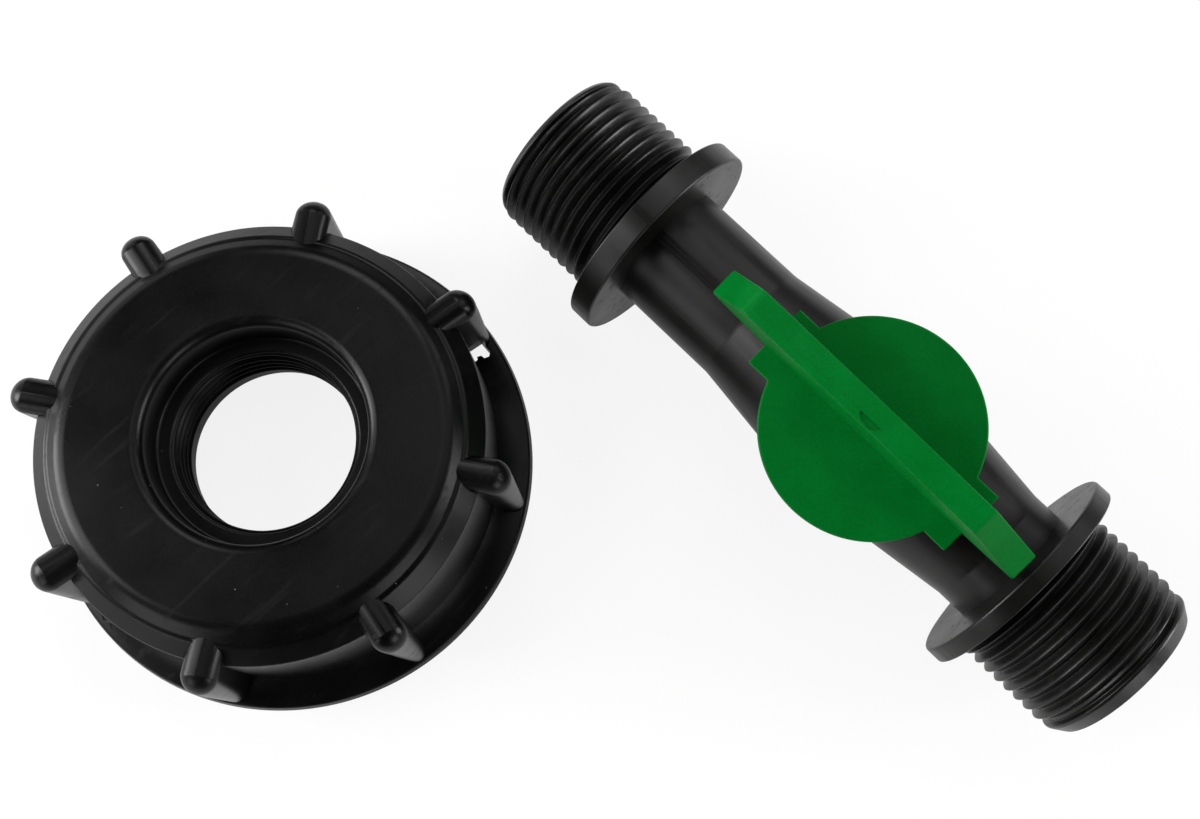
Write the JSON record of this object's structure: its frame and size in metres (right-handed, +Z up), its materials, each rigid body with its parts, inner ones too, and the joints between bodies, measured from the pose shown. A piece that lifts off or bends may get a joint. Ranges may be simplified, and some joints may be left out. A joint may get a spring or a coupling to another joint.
{
  "type": "ibc tank valve",
  "caption": "Straight plug valve with two male pipe-threaded ends and a quarter-turn handle, with its loose lugged adapter cap for an IBC tank outlet",
  "frame": {"origin": "middle of the footprint, on the ground", "axes": "+X along the valve's flow axis towards its short end, +Z up, along the adapter cap's thread axis; the valve's stem leans from +Z towards -Y"},
  "size_m": [0.1466, 0.1188, 0.0451],
  "materials": {
    "black_polypropylene": "moulded black polypropylene, satin",
    "green_acetal": "moulded green acetal, soft gloss",
    "nitrile_rubber": "moulded black rubber"
  },
  "bodies": {
    "valve": {"valve_body": "black_polypropylene", "inlet_seat_seal": "nitrile_rubber", "outlet_seat_seal": "nitrile_rubber"},
    "handle": {"plug_handle": "green_acetal", "upper_o_ring": "nitrile_rubber", "lower_o_ring": "nitrile_rubber"},
    "cap": {"adapter_cap": "black_polypropylene", "adapter_gasket": "nitrile_rubber"}
  },
  "joints": [
    {"name": "handle_quarter_turn", "type": "hinge", "parent": "valve", "child": "handle", "pos_m": [0.02483, 0.04141, 0.0168], "axis": [0, 0.2505, -0.9681], "range_deg": [0, 90]},
    {"name": "cap_screw_turn", "type": "hinge", "parent": "valve", "child": "cap", "pos_m": [-0.03553, -0.02159, 0], "axis": [0, 0, 1], "continuous": true}
  ]
}
